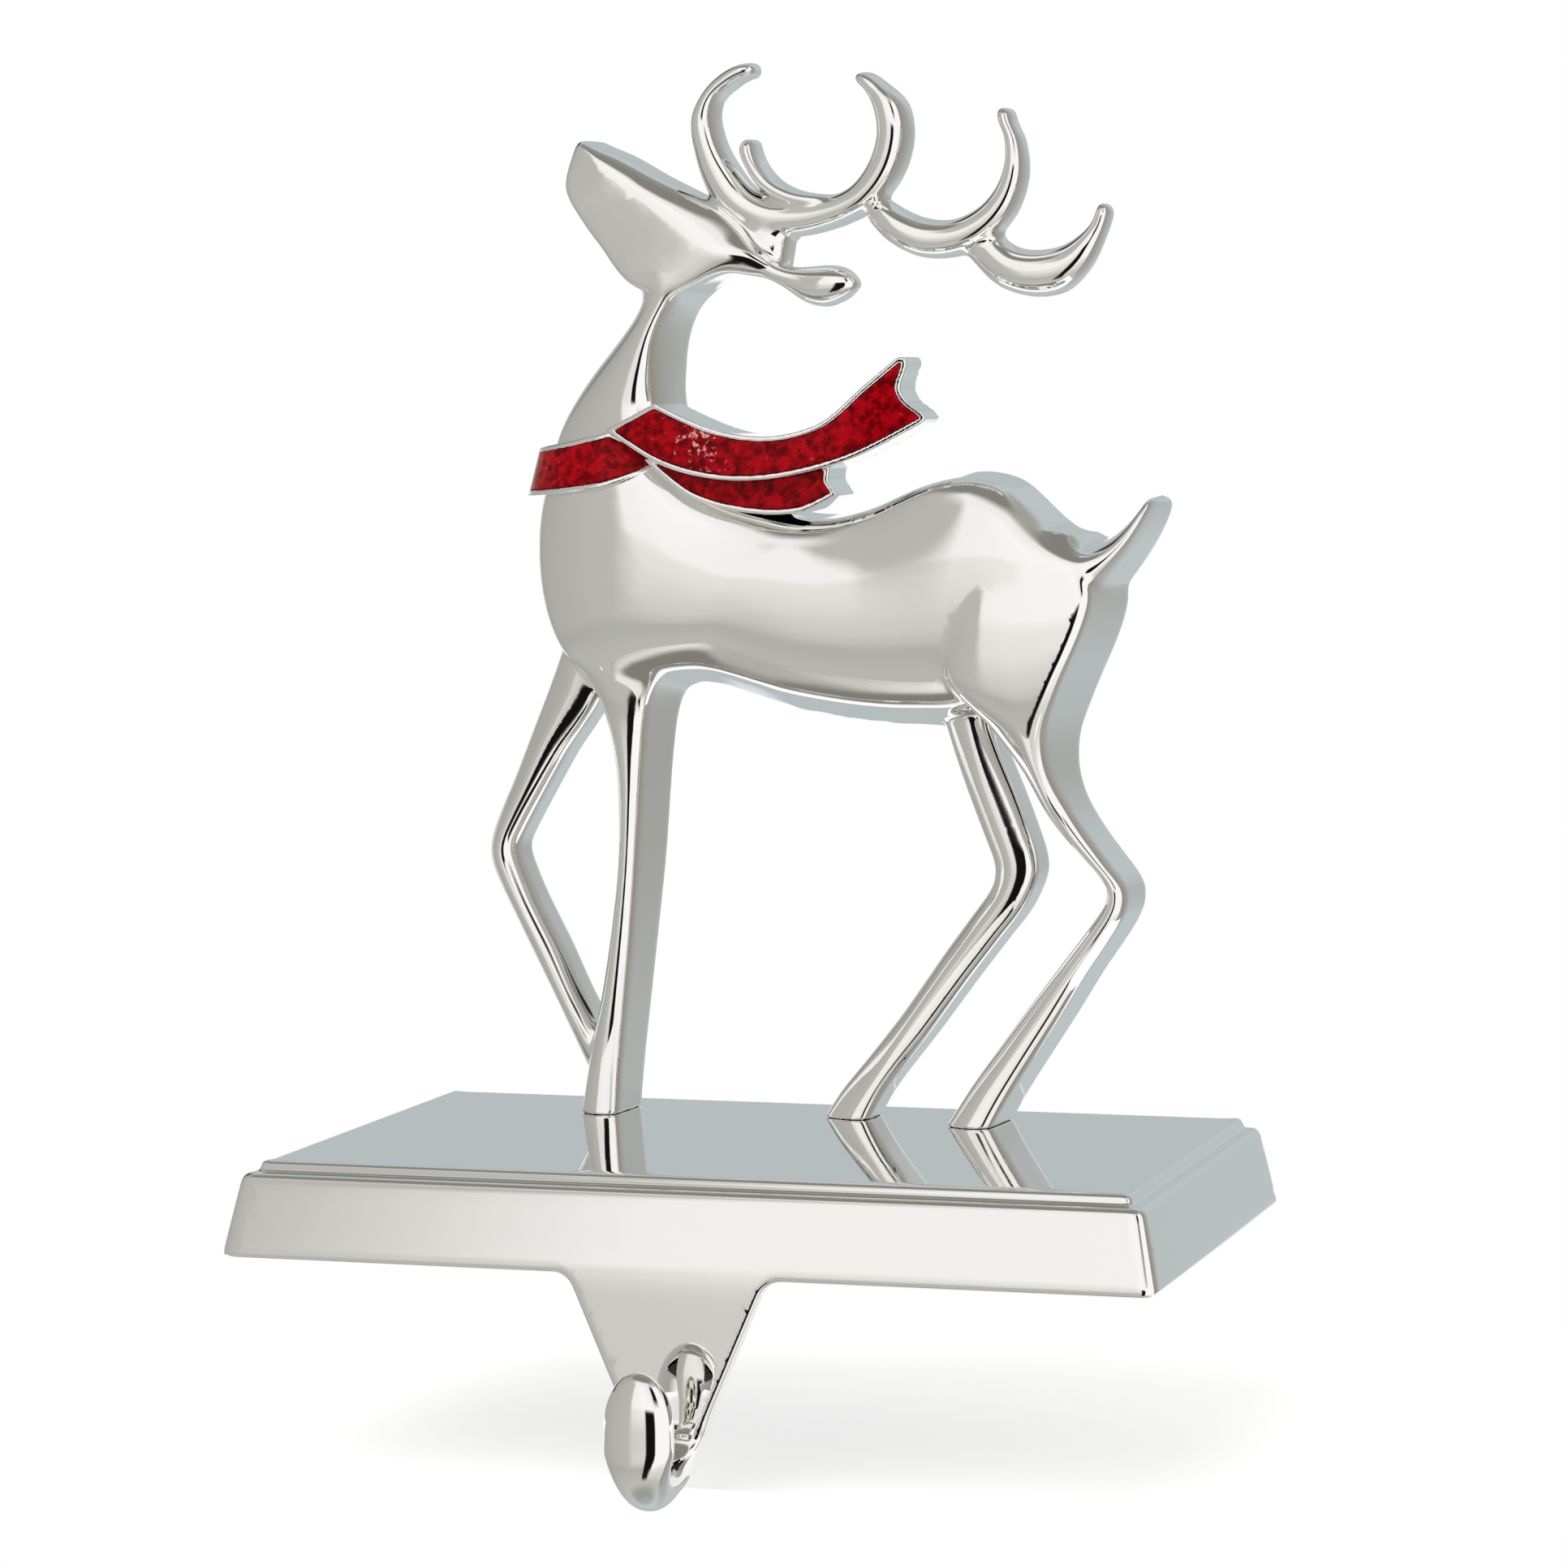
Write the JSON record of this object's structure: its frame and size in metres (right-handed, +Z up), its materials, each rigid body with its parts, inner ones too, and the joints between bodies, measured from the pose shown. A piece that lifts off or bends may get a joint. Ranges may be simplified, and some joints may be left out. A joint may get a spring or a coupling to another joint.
{
  "type": "mantel stocking holder",
  "caption": "Weighted mantel stocking holder: a polished standing reindeer with a red enamel scarf on a stepped rectangular base, with a front tab and hook.",
  "frame": {"origin": "centre of the pad's underside, on the mantel shelf", "axes": "+Z up, -Y towards the room where the hook hangs, +X to the right seen from the room"},
  "size_m": [0.13, 0.0991, 0.1931],
  "materials": {
    "plated_casting": "polished nickel plate",
    "red_enamel": "glossy mottled enamel",
    "screw_steel": "zinc plated",
    "black_foam": "matt closed-cell foam"
  },
  "bodies": {
    "root": {"base": "plated_casting", "reindeer": "plated_casting", "scarf_collar_enamel": "red_enamel", "scarf_long_tail_enamel": "red_enamel", "scarf_short_tail_enamel": "red_enamel", "foot_screws": "screw_steel", "non_slip_pad": "black_foam"}
  },
  "joints": []
}
